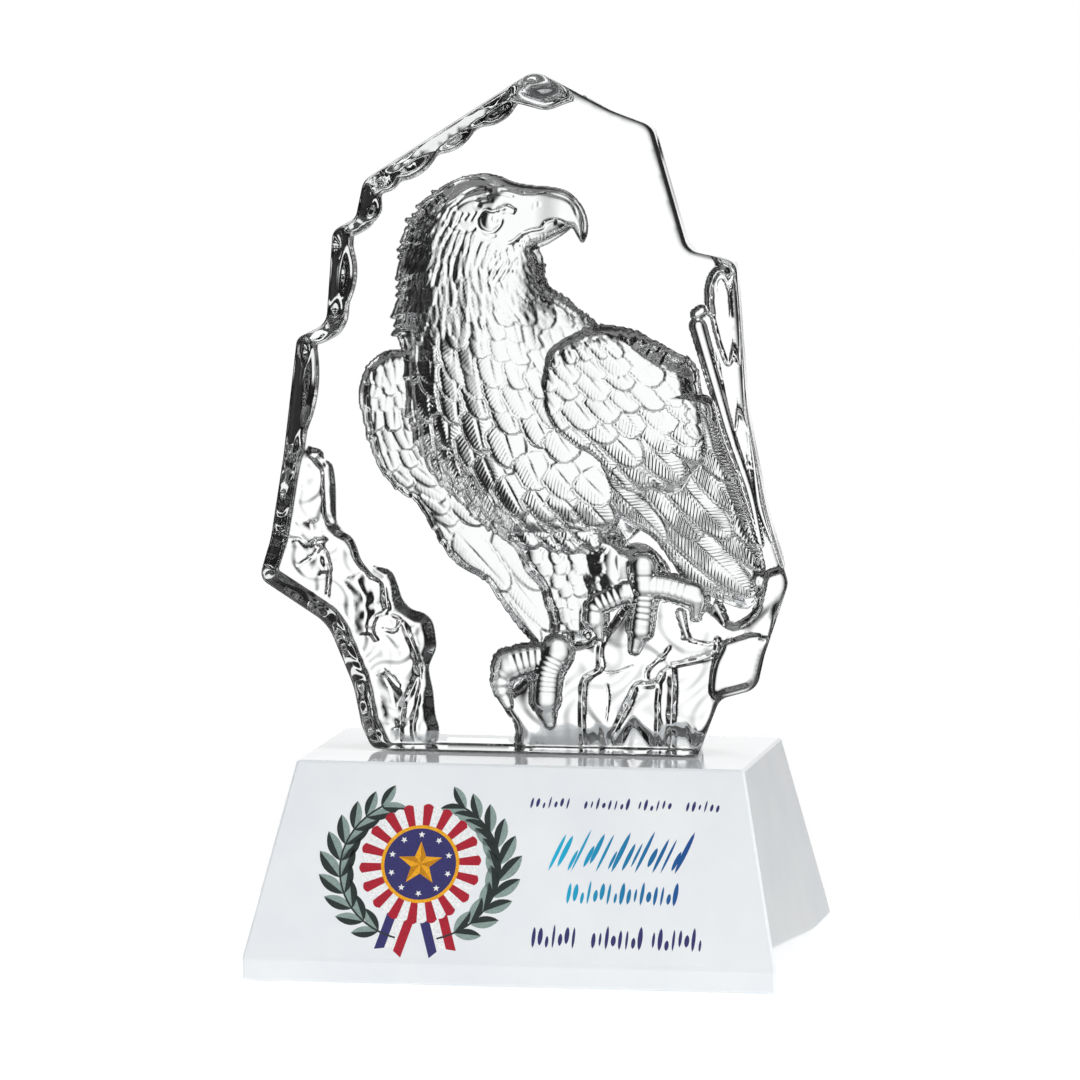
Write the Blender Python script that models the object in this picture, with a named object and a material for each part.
"""Eagle award trophy: an eagle pressed into the back of a crystal block, on a white crystal base.

The block is poured in a mould. Its front is flat and polished, its edge is broken like ice, and the eagle
on its rock is sunk into the back, so that it shows through the front as a raised figure. The block is
stuck on the flat top of the base.

Frame: metres, +Z up, the front looks along -Y, and the origin is the middle of the base's underside.
Sizes are in millimetres and are scaled by MM where the meshes are made.
"""
import bpy
import bmesh
import numpy as np
from mathutils.geometry import delaunay_2d_cdt

MM = 0.001
GLUE_GAP = 0.3

# ------------------------------------------------------------------ base
FOOT_WIDTH, FOOT_DEPTH, FOOT_HEIGHT = 114.0, 83.5, 5.0
TOP_WIDTH, TOP_DEPTH, TOP_HEIGHT = 96.0, 54.0, 45.3
BASE_CHAMFER = 0.5

# ------------------------------------------------------------------ crystal block
FRONT_Y, THICKNESS = -9.5, 18.6
UNDERSIDE = TOP_HEIGHT + GLUE_GAP
EDGE_ROUND, FOOT_ROUND = 1.0, 0.25
APEX_BACK_RADIUS = 28.0
CORNER_STEPS, WALL_STEP = 3, 6.0
WALL_HOLLOW = 0.4

# Corners of the broken edge, clockwise from the apex: x, z, radius, and how far the wall after the corner
# leans in from front to back.
CORNERS = [
    (0, 191.3, 4.5, 2.9), (16.5, 182.9, 30, 2.9), (25.3, 179.7, 4, 1.4), (33, 153.5, 3.5, 2.6),
    (43.3, 151.2, 3, 3.0), (45.7, 120.3, 40, 3.0), (50, 98, 60, 3.0), (54.7, 83, 4, 3.0),
    (49.6, 67.5, 20, 3.0), (48, 60.2, 4, 2.5), (40, 57.9, 3.5, 2.5), (36.8, 49.5, 15, 2.0),
    (35.6, UNDERSIDE, 1.2, 0.0), (-35.2, UNDERSIDE, 2.5, 3.0), (-37.5, 50.5, 6, 3.4), (-39.2, 59, 20, 3.4),
    (-44.8, 72.3, 10, 3.4), (-59.8, 81.9, 2.8, 3.2), (-57.2, 90.5, 20, 3.0), (-54.3, 109, 60, 3.0),
    (-51.4, 133.6, 2.5, 3.0), (-45, 136.7, 4, 2.8), (-43.6, 156.6, 3, 2.6), (-38.6, 159.4, 2.5, 2.6),
    (-36.9, 167.4, 4, 2.6),
]

# ------------------------------------------------------------------ masses of the relief
# Each is a closed outline seen from the front (x, z); its depth in the block is given in relief().
ROCK = [(-8.7, 55), (-6, 50.2), (-4.4, 44), (10, 40), (40, 40), (60, 60), (60, 84), (47.6, 84), (46, 77),
        (41.5, 73), (36, 77), (26, 79), (19, 77.5), (14, 71.5), (9.5, 68.5), (2, 67), (-4, 60)]
BOULDER = [(37.4, 65.2), (36.4, 59), (38.6, 56.6), (60, 56), (60, 72), (49.5, 70), (45, 71.2), (39.4, 69.3)]
CLIFF = [(-70, 109.5), (-50.2, 109.3), (-45.8, 105.5), (-45, 95.5), (-44.6, 92.8), (-41.5, 90.8),
         (-38.6, 85.6), (-36.5, 83.9), (-33.2, 83), (-30.6, 77), (-28.5, 74.8), (-25.6, 73.8), (-24, 72),
         (-23.3, 66), (-24.7, 62.5), (-23.9, 57), (-22.6, 48.5), (-24, 44), (-30, 40), (-70, 40)]
BODY = [(-13, 168.3), (-22.3, 164.9), (-27.4, 159.3), (-30.3, 152.5), (-31, 143), (-31.5, 134),
        (-29.8, 124), (-28.6, 116.5), (-26, 108.5), (-21.5, 101.2), (-15, 95.3), (-7.5, 89.6), (-3, 88.3),
        (5, 87.3), (15, 89), (20, 91.5), (26, 100), (26, 118), (20, 130), (12, 136.3), (5, 141.7),
        (0.3, 145.5), (-0.3, 150.6), (-0.9, 152.6), (3.6, 155.2), (6.3, 157), (7.2, 155.8), (8.5, 154.1),
        (9.5, 156), (9.5, 158.5), (7, 163.4), (5, 164.9), (2, 165.6), (-6, 166.5)]
BACK_WING = [(-28, 130.3), (-33.8, 130), (-38, 126.3), (-39.4, 122.8), (-39.4, 119), (-36.6, 108),
             (-33, 102), (-28.2, 98.5), (-24.5, 93.6), (-19.2, 85.4), (-13.6, 82.3), (-9, 76.5), (-2, 68),
             (1.5, 65.5), (5, 68), (4, 95), (-5, 115), (-18, 129)]
SHOULDER = [(2.6, 131.6), (0.9, 123), (1.6, 118.5), (6.5, 112), (13.5, 107.8), (18, 102.6), (21, 101.4),
            (24, 102.2), (27.5, 100.9), (30.3, 101.6), (35, 107.5), (36, 111), (33.3, 126), (32, 128.8),
            (24, 133), (19, 135.3), (13.5, 136), (8, 134.8)]
FLIGHT = [(13.8, 109), (15.8, 100), (19.6, 93.8), (26, 88.7), (31.5, 81.5), (36, 79), (44.3, 76.3),
          (46.6, 78.8), (48, 82.8), (46, 92), (41.5, 106), (37.8, 116), (36.3, 121), (30, 122), (20, 118)]
THIGH = [(-7, 91), (-3.4, 83), (-0.6, 80), (1.7, 73), (2, 69.5), (8, 68), (10.3, 69), (10.8, 77.3),
         (15, 80.3), (12, 87), (8, 91), (0, 92)]
SHANK = [(16.3, 87), (18.5, 89.3), (22, 89.5), (25, 87.4), (27.4, 84), (27.2, 80), (25, 77), (20.5, 77),
         (18, 79.5), (17, 83)]

# Cracks in the rock: route, half width, depth.
CRACKS = [
    ([(13.3, 70), (12.7, 62.8), (9.2, 60), (8.9, 50), (9.1, 44)], 0.55, 1.4),
    ([(28, 68), (24.6, 64.2), (22.9, 60.6)], 0.5, 1.2),
    ([(28.5, 63.3), (25.2, 60), (20.6, 59.2), (16.2, 50), (14.9, 47.6), (16, 44)], 0.6, 1.5),
    ([(25.7, 60), (25.2, 50), (25, 44)], 0.5, 1.4),
    ([(28.3, 63.6), (28.4, 58), (27.8, 44)], 0.8, 1.9),
    ([(28, 63.8), (35, 65.4), (37.8, 67), (38.2, 70.5)], 0.6, 1.3),
    ([(41.5, 73.2), (46.2, 76.6), (48.3, 84)], 0.6, 1.3),
    ([(-50.5, 107.5), (-47.8, 105), (-47, 95), (-46, 92.5)], 0.5, 1.0),
    ([(-45, 91.3), (-40.5, 87.5), (-37, 82), (-33.5, 74)], 0.6, 1.4),
    ([(-31, 72.5), (-27.5, 65), (-28.5, 57), (-31, 46)], 0.6, 1.5),
]
# Flutes down the right edge: route, half width, depth.
FLUTES = [
    ([(39.6, 149.5), (39.3, 142), (40.3, 127)], 2.8, 1.6),
    ([(38.4, 133), (39.8, 124), (41.6, 110.5)], 2.6, 1.4),
    ([(41.2, 120), (42.2, 113), (43.4, 102.5)], 2.0, 1.2),
]
# Lines cut in the head, at the brow, gape and cheek: route, half width, depth.
HEAD_LINES = [
    ([(-13.2, 160.8), (-10, 160.6), (-7, 160.9), (-5.2, 160.3)], 0.5, 0.9),
    ([(-8, 154.2), (-4.5, 155.5), (-1.5, 157.2), (1.5, 158.4), (4.5, 159), (7, 155.8)], 0.5, 0.9),
    ([(-13.5, 159.8), (-15.8, 156.7), (-19.6, 156.6), (-20, 159.8)], 0.5, 0.7),
]
FACE = [(-27, 162), (-20, 147), (0, 147), (12, 152), (12, 165), (-13, 170)]
EYE, EYE_RADIUS, EYE_RISE = (-10.8, 158.7), 2.1, 0.9
# Toes and claws: route, radius at each end, depth of the crest at each end.
TOES = [
    ([(18.5, 79), (12.3, 76.3), (12, 73.5)], (2.2, 2.0), (8.2, 7.4)),
    ([(12.4, 73.5), (12.8, 70.5)], (1.9, 0.7), (7.2, 6.0)),
    ([(22.3, 84), (22.3, 78), (21.8, 72)], (2.8, 2.4), (9.3, 8.2)),
    ([(21.6, 71.5), (20.3, 67.5)], (2.2, 1.2), (8.0, 6.5)),
    ([(22.5, 80.5), (27, 80), (32.5, 79)], (2.6, 2.6), (9.0, 8.2)),
    ([(33.5, 77.5), (33, 74.5)], (1.8, 1.0), (7.5, 6.0)),
    ([(3, 64.5), (-4, 63.8), (-9, 63.2)], (2.8, 3.0), (7.5, 7.0)),
    ([(-9.3, 62), (-10, 59), (-8, 55.5)], (2.4, 0.9), (6.8, 5.5)),
    ([(3.5, 66), (1.5, 62), (0.6, 57)], (3.4, 2.8), (8.0, 7.8)),
    ([(0.4, 55.5), (1.6, 51.2)], (2.6, 1.0), (7.4, 6.0)),
]

# Rows of feathers, the lowest row of each tract first: route of the tips, count, width, length, and lift.
BACK_FEATHERS = [
    ([(-1.2, 67.3), (2.5, 71), (5, 76)], 3, 5.5, 20, 0.6),
    ([(-13.2, 82.8), (-7.5, 80), (-0.5, 79)], 3, 7, 17, 0.8),
    ([(-18.3, 93.1), (-12.5, 93)], 2, 5.5, 9, 0.8),
    ([(-28.5, 101.5), (-22.3, 101.6)], 2, 4.4, 7, 0.7),
    ([(-35.5, 107.5), (-31.8, 108.4), (-28.5, 109.3)], 3, 4.4, 6, 0.7),
    ([(-36.5, 113), (-30.5, 113), (-28, 113.5)], 3, 4.2, 6, 0.7),
    ([(-38, 122.8), (-35.5, 122.4), (-31.8, 123)], 3, 4.2, 6, 0.7),
]
CHEST_FEATHERS = [
    ([(-27.5, 112), (-13, 94.8), (-5, 89.5), (13, 88.8)], 12, 4.2, 8, 1.1),
    ([(-25, 114), (-11, 96.8), (-4, 92.3), (13, 90.7)], 11, 4.8, 8.5, 1.2),
    ([(-25, 121), (-15.5, 106.5), (-5, 97.5), (0.5, 95), (16, 92.5)], 10, 5.8, 9, 1.2),
    ([(-25, 127), (-18.5, 115.2), (-3, 104.5), (15.5, 98.5)], 9, 6.3, 9, 1.1),
    ([(-25, 131), (-17.8, 119.5), (-3, 111.9), (8, 107.5)], 8, 6.3, 8.5, 0.9),
    ([(-24.5, 133), (-12, 121), (-6.8, 117.3), (4, 115)], 8, 5.6, 8, 0.8),
    ([(-25, 136), (-14, 125.3), (1, 121)], 8, 5.2, 7, 0.7),
    ([(-25, 138), (-12.5, 129.8), (2, 126.5)], 8, 4.7, 6.5, 0.6),
    ([(-24, 139), (-12, 133), (4, 130.5)], 9, 4.2, 6, 0.6),
    ([(-30.5, 139), (-17, 137), (-2, 139)], 11, 3.4, 10, 0.8),
    ([(-31.5, 148), (-19, 143), (-1, 145)], 9, 3.2, 9, 0.8),
    ([(-29, 158), (-24.5, 152), (-19, 150)], 5, 3, 8, 0.7),
]
COVERT_FEATHERS = [
    ([(15, 104), (20.8, 101.6), (27.3, 101.1), (35.6, 108)], 5, 7.2, 13, 1.2),
    ([(15.6, 106.7), (21, 107.7), (34.5, 112.5)], 4, 7, 10, 1.0),
    ([(11, 110.4), (15.5, 111.3), (34, 117.5)], 5, 6.6, 9, 0.9),
    ([(5.8, 114.8), (15.2, 115), (19.8, 118.5), (32, 121)], 6, 6.4, 8.5, 0.8),
    ([(3.5, 118.4), (8.7, 121.7), (21.3, 123.6), (32, 126)], 6, 6, 8, 0.7),
    ([(3.5, 123.3), (12.5, 125.1), (30, 129)], 6, 5.6, 7, 0.7),
]
QUILL_FEATHERS = [
    ([(29, 84), (37, 79.2), (43, 77.2), (48.2, 84.5), (46.5, 91)], 6, 7, 25, 1.1),
    ([(21, 93.2), (27, 91.3), (40.3, 91.8), (43.4, 96.5), (41.8, 104)], 6, 7, 21, 1.2),
]

# Spacing of the mesh's points, mm.
LINE_STEP = 2.1
RELIEF_GRID, PLAIN_GRID = 2.1, 9.0


def smooth(points, steps=5, closed=True):
    """Catmull-Rom curve: each span is the cubic of its two ends and their neighbours."""
    p = np.array(points, float)
    if closed:
        p = np.vstack([p[-1:], p, p[:2]])
    else:
        p = np.vstack([2 * p[0] - p[1], p, 2 * p[-1] - p[-2]])
    t = np.linspace(0, 1, steps, endpoint=False)[:, None]
    spans = [
        (2 * b + (c - a) * t + (2 * a - 5 * b + 4 * c - d) * t**2 + (3 * b - a - 3 * c + d) * t**3) / 2
        for a, b, c, d in zip(p[:-3], p[1:-2], p[2:-1], p[3:])
    ]
    return np.vstack(spans if closed else spans + [p[-2:-1]])


def resample(line, step=None, count=None):
    """Points at equal distances along a line, both ends kept."""
    run = np.concatenate([[0], np.cumsum(np.hypot(*np.diff(line, axis=0).T))])
    at = np.linspace(0, run[-1], count or max(2, int(run[-1] / step) + 1))
    return np.column_stack([np.interp(at, run, line[:, 0]), np.interp(at, run, line[:, 1])])


def inside(x, z, loop):
    """Distance to a closed outline, positive inside it."""
    nearest = np.full(x.shape, np.inf)
    within = np.zeros(x.shape, bool)
    for (ax, az), (bx, bz) in zip(loop, np.roll(loop, -1, 0)):
        dx, dz = bx - ax, bz - az
        t = np.clip(((x - ax) * dx + (z - az) * dz) / (dx * dx + dz * dz), 0, 1)
        nearest = np.minimum(nearest, np.hypot(x - ax - t * dx, z - az - t * dz))
        if dz:
            within ^= ((az > z) != (bz > z)) & (x < ax + (z - az) * dx / dz)
    return np.where(within, nearest, -nearest)


def beside(x, z, route):
    """Distance to an open route, and how far along it the nearest point lies, from 0 to 1."""
    nearest, along, run = np.full(x.shape, np.inf), np.zeros(x.shape), 0.0
    for (ax, az), (bx, bz) in zip(route[:-1], route[1:]):
        dx, dz = bx - ax, bz - az
        length = np.hypot(dx, dz)
        t = np.clip(((x - ax) * dx + (z - az) * dz) / length**2, 0, 1)
        distance = np.hypot(x - ax - t * dx, z - az - t * dz)
        along = np.where(distance < nearest, run + t * length, along)
        nearest = np.minimum(nearest, distance)
        run += length
    return nearest, along / run


def ease(t):
    """Smooth step from 0 to 1."""
    t = np.clip(t, 0, 1)
    return t * t * (3 - 2 * t)


def lay(depth, d, top, flank):
    """A mass rises from what lies under it to its own top as 1 - exp(-d / flank)."""
    return np.where(d > 0, depth + (top - depth) * (1 - np.exp(-np.maximum(d, 0) / flank)), depth)


def crack(depth, x, z, route, width, cut):
    """A groove with a Gaussian section that runs out at its two ends."""
    d, t = beside(x, z, smooth(route, closed=False))
    return depth - cut * np.exp(-(d / width)**2) * np.clip(12 * t, 0, 1) * np.clip(12 - 12 * t, 0, 1)


def flute(depth, x, z, route, width, cut):
    """A scoop with a flat floor, round at its start and pointed at its end."""
    d, t = beside(x, z, smooth(route, closed=False))
    half = width * np.clip(1 - t, 0.001, 1)**0.65 * np.clip(t / 0.15, 0.05, 1)**0.5
    return depth + cut * np.clip(1 - (d / half)**4, 0, 1)


def toe(depth, x, z, route, radius, crest):
    """A half-round rod whose radius and crest run from one end to the other."""
    d, t = beside(x, z, smooth(route, closed=False))
    r = radius[0] + (radius[1] - radius[0]) * t
    top = crest[0] + (crest[1] - crest[0]) * t
    section = np.sqrt(np.clip(1 - (d / r)**2, 0, 1))
    return np.where(section > 0, np.maximum(depth, top - 0.75 * r * (1 - section)), depth)


def feather_places(rows, lean):
    """Every feather of a tract in the order it is laid: tip, direction, width, length and lift."""
    for route, count, width, length, lift in rows:
        for x, z in resample(smooth(route, closed=False), count=count)[::-1]:
            angle = np.radians(lean(x, z))
            yield np.array([x, z]), np.array([np.sin(angle), -np.cos(angle)]), width, length, lift


def lay_feathers(detail, x, z, rows, lean, region):
    """Round-tipped shingles, each rising to its tip and covering the ones below it."""
    for tip, way, width, length, lift in feather_places(rows, lean):
        dx, dz = x - tip[0], z - tip[1]
        along = (dx * way[0] + dz * way[1]) / length + 1
        across = dx * way[1] - dz * way[0]
        half = width / 2 * np.sqrt(1 - np.clip(along, 0, 1)**4.5)
        own = lift * (0.15 + 0.85 * along + 0.25 * (1 - (2 * across / width)**2))
        covers = (np.abs(across) < half) & (along > 0) & (along < 1) & region
        detail[covers] = own[covers]


def chest_lean(x, z):
    """Degrees from straight down: the plumage turns outwards below the neck and to the right."""
    return np.clip(33 + 0.9 * (x + 5) - 0.5 * (z - 108), -12, 58)


def wing_lean(x, z):
    return 43 + 0.1 * (x - 25)


def back_lean(x, z):
    return 50 * ease((122 - z) / 30) - 12 * ease((85 - z) / 15)


MASSES = {"rock": ROCK, "cliff": CLIFF, "boulder": BOULDER, "back": BACK_WING, "thigh": THIGH, "chest": BODY,
          "quill": FLIGHT, "shank": SHANK, "covert": SHOULDER}
TRACTS = {"back": (BACK_FEATHERS, back_lean), "chest": (CHEST_FEATHERS, chest_lean),
          "quill": (QUILL_FEATHERS, wing_lean), "covert": (COVERT_FEATHERS, wing_lean)}


def mass_sizes(x, z):
    """Depth of the top and width of the flank of each mass."""
    run = np.maximum(0, (x - 15 + 120 - z) * 0.7071)
    chest_flank = 0.9 + 1.4 * ease((-8 - x) / 10) - 0.5 * ease((z - 150) / 5) * ease((x + 8) / 6)
    return {
        "rock": (4.2, 0.7),
        "cliff": (6.0, 0.8),
        "boulder": (6.2, 0.35),
        "back": (1.6 + 2.6 * ease((z - 66) / 64), 0.25 + 0.35 * ease((z - 95) / 25)),
        "thigh": (6.4, 0.8),
        "chest": (8.3 - 0.0022 * (x + 6)**2 - 0.0006 * (z - 118)**2, chest_flank),
        "quill": (8.4 - 0.09 * run, 0.35),
        "shank": (8.0, 1.0),
        "covert": (9.6 - 0.05 * run, 0.45 + 1.1 * ease((x - 8) / 12)),
    }


def relief(x, z):
    """How deep the back of the block is sunk at each point, mm."""
    depth, region = np.zeros(x.shape), {}
    sizes = mass_sizes(x, z)
    for name, outline in MASSES.items():
        region[name] = inside(x, z, smooth(outline))
        depth = lay(depth, region[name], *sizes[name])
        if name == "boulder":
            for route, width, cut in CRACKS:
                depth = np.maximum(0, crack(depth, x, z, route, width, cut))
            for route, width, cut in FLUTES:
                depth = flute(depth, x, z, route, width, cut)
    detail = np.zeros(x.shape)
    for name, (rows, lean) in TRACTS.items():
        detail[region[name] > 0] = 0
        lay_feathers(detail, x, z, rows, lean, region[name] > 0)
    detail[(region["shank"] > 0) & (region["covert"] < 0)] = 0
    depth = depth + detail
    for route, width, cut in HEAD_LINES:
        depth = crack(depth, x, z, route, width, cut)
    depth += EYE_RISE * np.sqrt(np.clip(1 - (np.hypot(x - EYE[0], z - EYE[1]) / EYE_RADIUS)**2, 0, 1))
    for route, radius, crest in TOES:
        depth = toe(depth, x, z, route, radius, crest)
    return depth


def edge_ring(lean_share, round_share, hollow=0.0):
    """The broken edge moved inwards wall by wall, with its corners rounded again and its walls hollowed.

    Every ring has the same number of points at each corner and along each wall, so rings can be bridged.
    """
    xz = np.array([c[:2] for c in CORNERS], float)
    walls = np.roll(xz, -1, 0) - xz
    lengths = np.hypot(*walls.T)
    inward = np.column_stack([walls[:, 1], -walls[:, 0]]) / lengths[:, None]
    lean = np.array([c[3] for c in CORNERS])
    rounding = np.where(lean > 0, EDGE_ROUND, FOOT_ROUND)
    shift = lean_share * lean + round_share * rounding
    points = []
    moved = []
    for i in range(len(xz)):
        normals = np.array([inward[i - 1], inward[i]])
        moved.append(xz[i] + np.linalg.solve(normals, [shift[i - 1], shift[i]]))
    for i, corner in enumerate(moved):
        before, after = moved[i - 1] - corner, moved[(i + 1) % len(moved)] - corner
        to_before, to_after = before / np.hypot(*before), after / np.hypot(*after)
        half = np.arccos(np.clip(to_before @ to_after, -1, 1)) / 2
        bulges = inward[i - 1] @ walls[i] > 0
        radius = CORNERS[i][2] + (-1 if bulges else 1) * (shift[i - 1] + shift[i]) / 2
        if i == 0:
            radius += (APEX_BACK_RADIUS - radius) * lean_share
        room = 0.45 * min(np.hypot(*before), np.hypot(*after))
        tangent = min(max(radius, 0.6) / np.tan(half), room)
        centre = corner + (to_before + to_after) / np.hypot(*(to_before + to_after)) * tangent / np.cos(half)
        start, end = corner + to_before * tangent - centre, corner + to_after * tangent - centre
        turn = np.arctan2(start[0] * end[1] - start[1] * end[0], start @ end)
        for angle in np.linspace(0, turn, CORNER_STEPS + 1):
            c, s = np.cos(angle), np.sin(angle)
            points.append(centre + (c * start[0] - s * start[1], s * start[0] + c * start[1]))
    ring = []
    per_corner = CORNER_STEPS + 1
    for i in range(len(moved)):
        arc = points[i * per_corner:(i + 1) * per_corner]
        following = points[(i + 1) * per_corner % len(points)]
        splits = max(1, round(lengths[i] / WALL_STEP))
        for k in range(1, splits):
            scoop = inward[i] * hollow * np.sin(np.pi * k / splits) * (lean[i] > 0)
            arc = arc + [points[i * per_corner + CORNER_STEPS] * (1 - k / splits) + following * k / splits + scoop]
        ring += arc
    return np.array(ring)


def offset(line, distance):
    """A copy of a line moved sideways, to its left for a positive distance."""
    along = np.gradient(line, axis=0)
    along /= np.maximum(np.hypot(*along.T), 1e-9)[:, None]
    return line + distance * np.column_stack([-along[:, 1], along[:, 0]])


def mass_points():
    """Both sides of every mass's edge, where no later mass covers it."""
    names = list(MASSES)
    groups = []
    for i, name in enumerate(names):
        loop = smooth(MASSES[name])
        line = resample(np.vstack([loop, loop[:1]]), LINE_STEP)
        both = np.vstack([offset(line, side) for side in (0.3, -0.3, 1.0, -1.0)])
        reach = inside(both[:, 0], both[:, 1], loop)
        both = both[(abs(reach + 0.3) < 0.15) | (abs(reach - 1.0) < 0.3)]
        for later in names[i + 1:]:
            both = both[inside(both[:, 0], both[:, 1], smooth(MASSES[later])) < 0.6]
        groups.append(both)
    return np.vstack(groups)


def rod_points(route, radius, shares):
    """Points around a rod that narrows along its route, at shares of its radius, with its round ends."""
    line = resample(smooth(route, closed=False), LINE_STEP)
    width = np.linspace(radius[0], radius[1], len(line))[:, None]
    groups = [line]
    for share in shares:
        groups += [line + (offset(line, side) - line) * share * width for side in (-1, 1)]
        for end, near, size in ((line[0], line[1], radius[0]), (line[-1], line[-2], radius[1])):
            away = np.arctan2(*(end - near)[::-1])
            turn = away + np.radians([-50, 0, 50])
            groups.append(end + share * size * np.column_stack([np.cos(turn), np.sin(turn)]))
    return np.vstack(groups)


def line_points():
    """The crest and sides of every toe, crack, flute and line of the head."""
    groups = [rod_points(route, radius, (0.7, 1.08)) for route, radius, _ in TOES]
    groups += [rod_points(route, (width, width), (1.5,)) for route, width, _ in HEAD_LINES + CRACKS]
    groups += [rod_points(route, (width, 0.4 * width), (0.8, 1.15)) for route, width, _ in FLUTES]
    turn = np.linspace(0, 2 * np.pi, 10, endpoint=False)
    for share in (0, 0.7, 1.05):
        groups.append(np.array(EYE) + share * EYE_RADIUS * np.column_stack([np.cos(turn), np.sin(turn)]))
    return np.vstack(groups)


def feather_points():
    """The middle of every feather, and points just inside and just outside its rounded tip."""
    groups = []
    for name, (rows, lean) in TRACTS.items():
        spots = []
        for tip, way, width, length, _ in feather_places(rows, lean):
            middle = tip - 0.4 * length * way
            spots.append(middle)
            alongs = [0.97, 0.87, 0.7] + [0.45, 0.2] * (length > 15)
            for along, side in [(1, 0)] + [(a, s) for a in alongs for s in (-1, 1)]:
                half = side * width / 2 * np.sqrt(1 - along**4.5)
                reach = (along - 0.6) * length * way + half * np.array([way[1], -way[0]])
                gap = min(0.3 / max(np.hypot(*reach), 0.3), 0.3)
                spots += [middle + share * reach for share in (1 - gap, 1 + gap)]
        spots = np.array(spots)
        groups.append(spots[inside(spots[:, 0], spots[:, 1], smooth(MASSES[name])) > 0])
    return np.vstack(groups)


def grid_points(step):
    """A staggered grid over the block."""
    x, z = np.meshgrid(np.arange(-60, 56, step), np.arange(UNDERSIDE, 191, step * 0.87))
    x[1::2] += step / 2
    return np.column_stack([x.ravel(), z.ravel()])


def fill_points():
    """Grid points on the relief outside the plumage, with one more row of them around it."""
    grid = grid_points(RELIEF_GRID)
    reach = np.zeros(len(grid))
    for dx, dz in ((0, 0), (1, 0), (-1, 0), (0, 1), (0, -1)):
        reach = np.maximum(reach, relief(grid[:, 0] + dx * RELIEF_GRID, grid[:, 1] + dz * RELIEF_GRID))
    feathered = np.zeros(len(grid), bool)
    for name in TRACTS:
        feathered |= inside(grid[:, 0], grid[:, 1], smooth(MASSES[name])) > 0
    face = inside(grid[:, 0], grid[:, 1], np.array(FACE)) > 0
    return grid[(reach > 0.3) & (~feathered | face)]


def back_points(ring):
    """All inner points of the back face, thinned out and kept clear of its edge."""
    fine = np.vstack([line_points(), mass_points(), feather_points()])
    medium, coarse = fill_points(), grid_points(PLAIN_GRID)
    points = np.vstack([fine, medium, coarse])
    spacing = np.array([0.5] * len(fine) + [1.3] * len(medium) + [2.9] * len(coarse))
    kept = inside(points[:, 0], points[:, 1], ring) > 0.7
    return thin_out(points[kept], spacing[kept])


def thin_out(points, spacing):
    """Keep the points in their order, leaving out each one that is too near to one already kept."""
    cells, kept = {}, []
    for (x, z), room in zip(points, spacing):
        cx, cz = int(np.floor(x / 3)), int(np.floor(z / 3))
        near = [p for i in (-1, 0, 1) for j in (-1, 0, 1) for p in cells.get((cx + i, cz + j), [])]
        if all((x - a)**2 + (z - b)**2 >= room**2 for a, b in near):
            cells.setdefault((cx, cz), []).append((x, z))
            kept.append((x, z))
    return np.array(kept)


def material(name, colour, roughness, transmission=0.0, ior=1.5):
    """A Principled material in a plain colour."""
    made = bpy.data.materials.new(name)
    made.use_nodes = True
    shader = made.node_tree.nodes["Principled BSDF"]
    shader.inputs["Base Color"].default_value = (*colour, 1)
    shader.inputs["Roughness"].default_value = roughness
    shader.inputs["Metallic"].default_value = 0.0
    shader.inputs["Transmission Weight"].default_value = transmission
    shader.inputs["IOR"].default_value = ior
    return made


def add_object(name, mesh, made):
    mesh.materials.append(made)
    thing = bpy.data.objects.new(name, mesh)
    bpy.context.scene.collection.objects.link(thing)
    return thing


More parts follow.
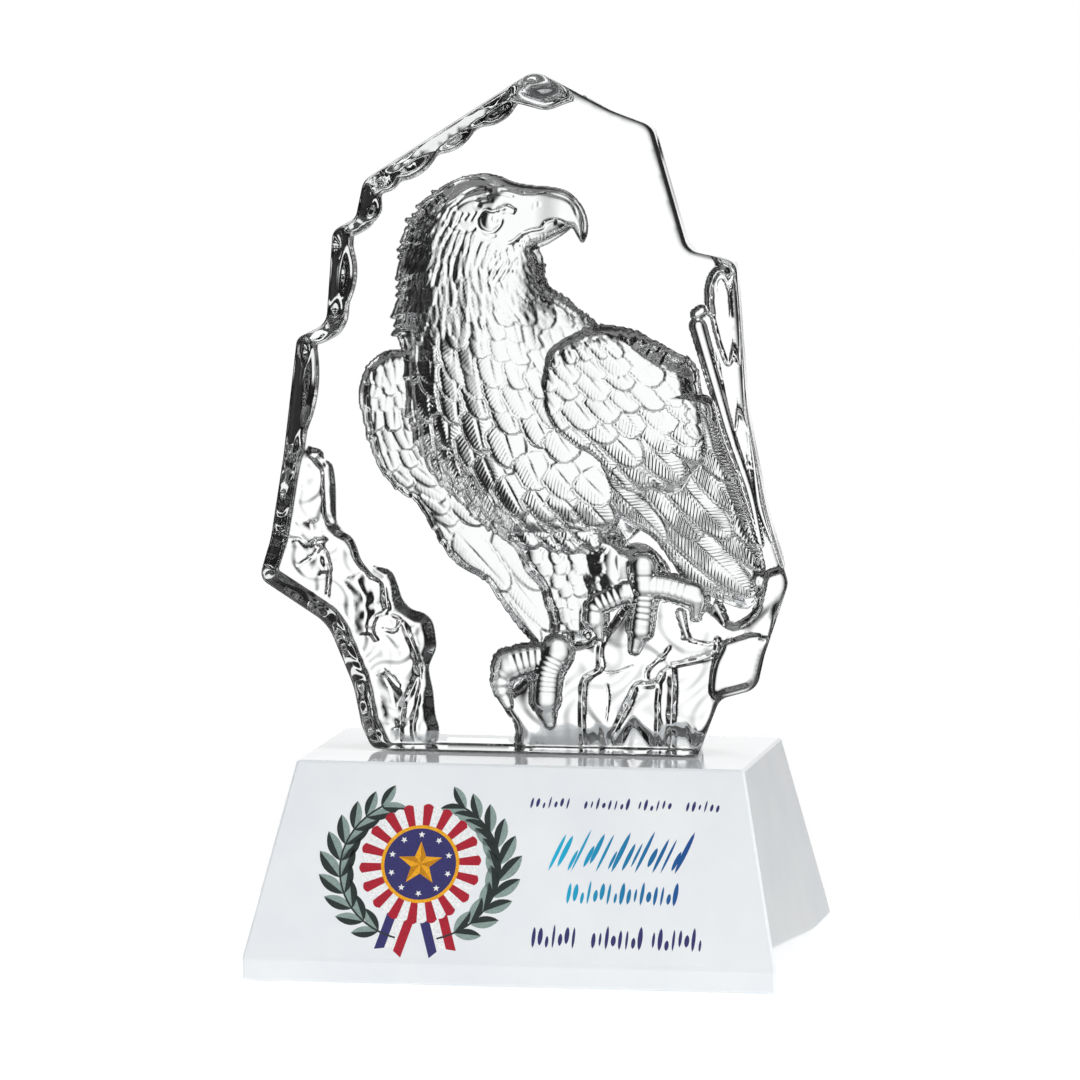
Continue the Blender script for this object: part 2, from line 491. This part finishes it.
def crystal_block():
    """The block as one closed mesh: flat front, leaning walls, and the back with the eagle sunk in it."""
    front = edge_ring(0.0, 1.0)
    front_wall = edge_ring(0.0, 0.0)
    back_wall = edge_ring(1.0, 0.0)
    back = edge_ring(1.0, 1.0)
    sunk = relief(back[:, 0], back[:, 1])
    back_y = FRONT_Y + THICKNESS
    count = len(front)
    middle_y = FRONT_Y + THICKNESS / 2 - sunk / 2
    rows = [(front, np.full(count, FRONT_Y)), (front_wall, np.full(count, FRONT_Y + EDGE_ROUND)),
            (edge_ring(0.5, 0.0, WALL_HOLLOW), middle_y), (back_wall, back_y - EDGE_ROUND - sunk),
            (back, back_y - sunk)]
    vertices = [np.column_stack([ring[:, 0], y, ring[:, 1]]) for ring, y in rows]
    inner = back_points(back)
    flat = np.vstack([back, inner])
    loop = [(i, (i + 1) % count) for i in range(count)]
    found = delaunay_2d_cdt([tuple(p) for p in flat], loop, [], 1, 1e-6)
    if len(found[0]) != len(flat):
        raise ValueError("the back face's points fall together")
    inner_y = back_y - relief(inner[:, 0], inner[:, 1])
    vertices.append(np.column_stack([inner[:, 0], inner_y, inner[:, 1]]))
    faces = [tuple(range(count))]
    for row in range(4):
        a, b = row * count, (row + 1) * count
        faces += [(a + j, a + i, b + i, b + j) for i, j in loop]
    faces += [tuple(4 * count + k for k in face) for face in found[2]]
    mesh = bpy.data.meshes.new("crystal_eagle_block")
    mesh.from_pydata((np.vstack(vertices) * MM).tolist(), [], faces)
    outward_faces(mesh)
    clear = material("lead crystal", (0.95, 0.97, 0.97), 0.02, transmission=1.0, ior=1.55)
    return add_object("crystal_eagle_block", mesh, clear)


def outward_faces(mesh):
    """Turn every face of a closed mesh outwards."""
    shape = bmesh.new()
    shape.from_mesh(mesh)
    bmesh.ops.recalc_face_normals(shape, faces=shape.faces)
    bmesh.ops.triangulate(shape, faces=[f for f in shape.faces if len(f.verts) > 4])
    shape.to_mesh(mesh)
    shape.free()


def white_base():
    """A four-sided block, upright at its foot and leaning in above, with every edge chamfered."""
    shape = bmesh.new()
    levels = [(FOOT_WIDTH, FOOT_DEPTH, 0.0), (FOOT_WIDTH, FOOT_DEPTH, FOOT_HEIGHT), (TOP_WIDTH, TOP_DEPTH, TOP_HEIGHT)]
    rings = []
    for width, depth, z in levels:
        corners = [(-1, -1), (1, -1), (1, 1), (-1, 1)]
        rings.append([shape.verts.new((x * width / 2 * MM, y * depth / 2 * MM, z * MM)) for x, y in corners])
    shape.faces.new(rings[0][::-1])
    shape.faces.new(rings[2])
    for low, high in zip(rings[:-1], rings[1:]):
        for i in range(4):
            j = (i + 1) % 4
            shape.faces.new((low[i], low[j], high[j], high[i]))
    bmesh.ops.bevel(shape, geom=shape.edges[:], offset=BASE_CHAMFER * MM, segments=1, affect="EDGES")
    mesh = bpy.data.meshes.new("white_crystal_base")
    shape.to_mesh(mesh)
    shape.free()
    white = material("white polished crystal", (0.86, 0.88, 0.9), 0.08)
    return add_object("white_crystal_base", mesh, white)


for old in list(bpy.data.objects):
    bpy.data.objects.remove(old, do_unlink=True)
white_base()
crystal_block()
